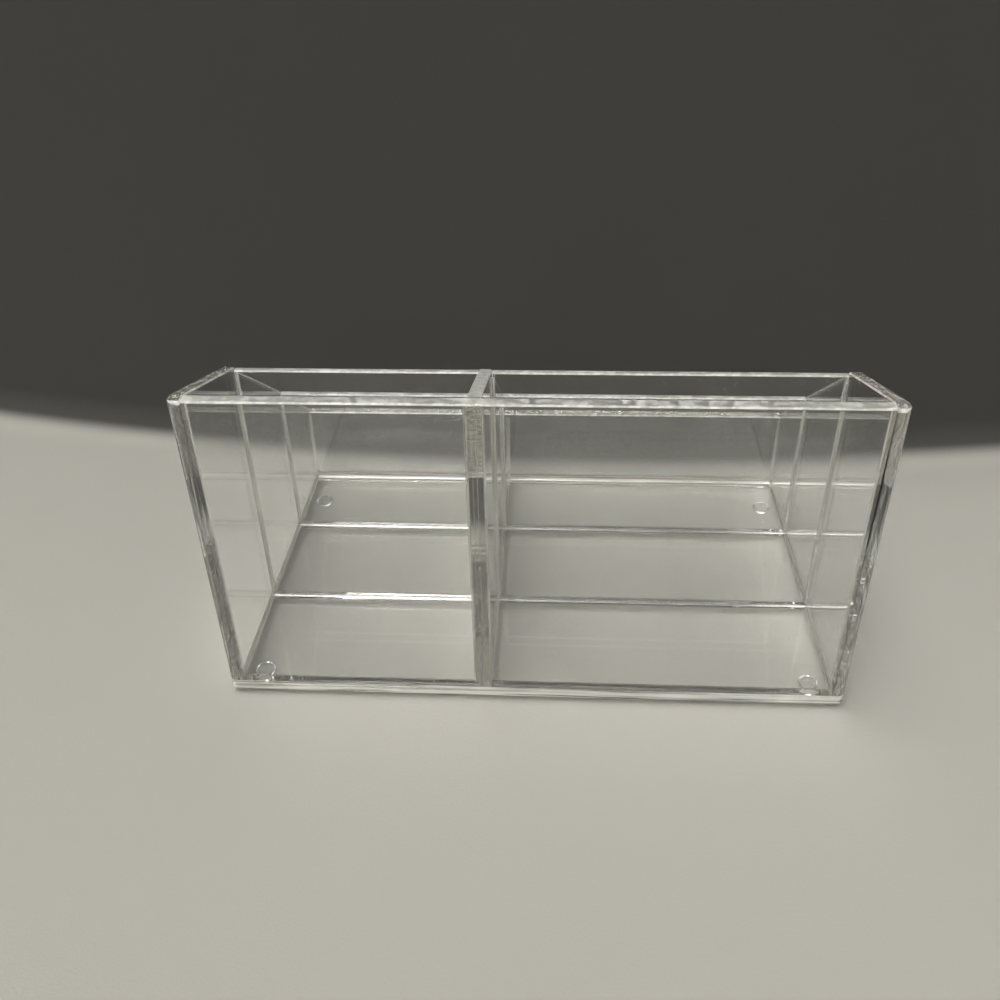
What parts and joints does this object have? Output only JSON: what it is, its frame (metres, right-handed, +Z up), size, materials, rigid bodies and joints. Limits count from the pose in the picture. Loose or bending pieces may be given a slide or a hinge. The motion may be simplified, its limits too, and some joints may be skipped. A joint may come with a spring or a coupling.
{
  "type": "makeup organizer",
  "caption": "Clear acrylic desktop organizer with open compartments in rows that step down from a tall back to a low front, on small bumper feet.",
  "frame": {"origin": "on the surface that the organizer stands on, under the middle of its outer box", "axes": "+Z up; +X along the length, to the right for someone who looks at the tall back; +Y from the tall back to the low front, so the back panel faces -Y"},
  "size_m": [0.24, 0.157, 0.1326],
  "materials": {
    "clear_acrylic": "clear colourless acrylic sheet with polished faces and edges",
    "clear_bumper": "clear soft polyurethane, slightly hazy"
  },
  "bodies": {
    "root": {"base_panel": "clear_acrylic", "left_side_panel": "clear_acrylic", "right_side_panel": "clear_acrylic", "back_panel": "clear_acrylic", "front_panel": "clear_acrylic", "centre_divider": "clear_acrylic", "rear_partition_narrow": "clear_acrylic", "rear_partition_wide": "clear_acrylic", "front_partition_narrow": "clear_acrylic", "front_partition_wide": "clear_acrylic", "foot_back_left": "clear_bumper", "foot_back_right": "clear_bumper", "foot_front_left": "clear_bumper", "foot_front_right": "clear_bumper"}
  },
  "joints": []
}
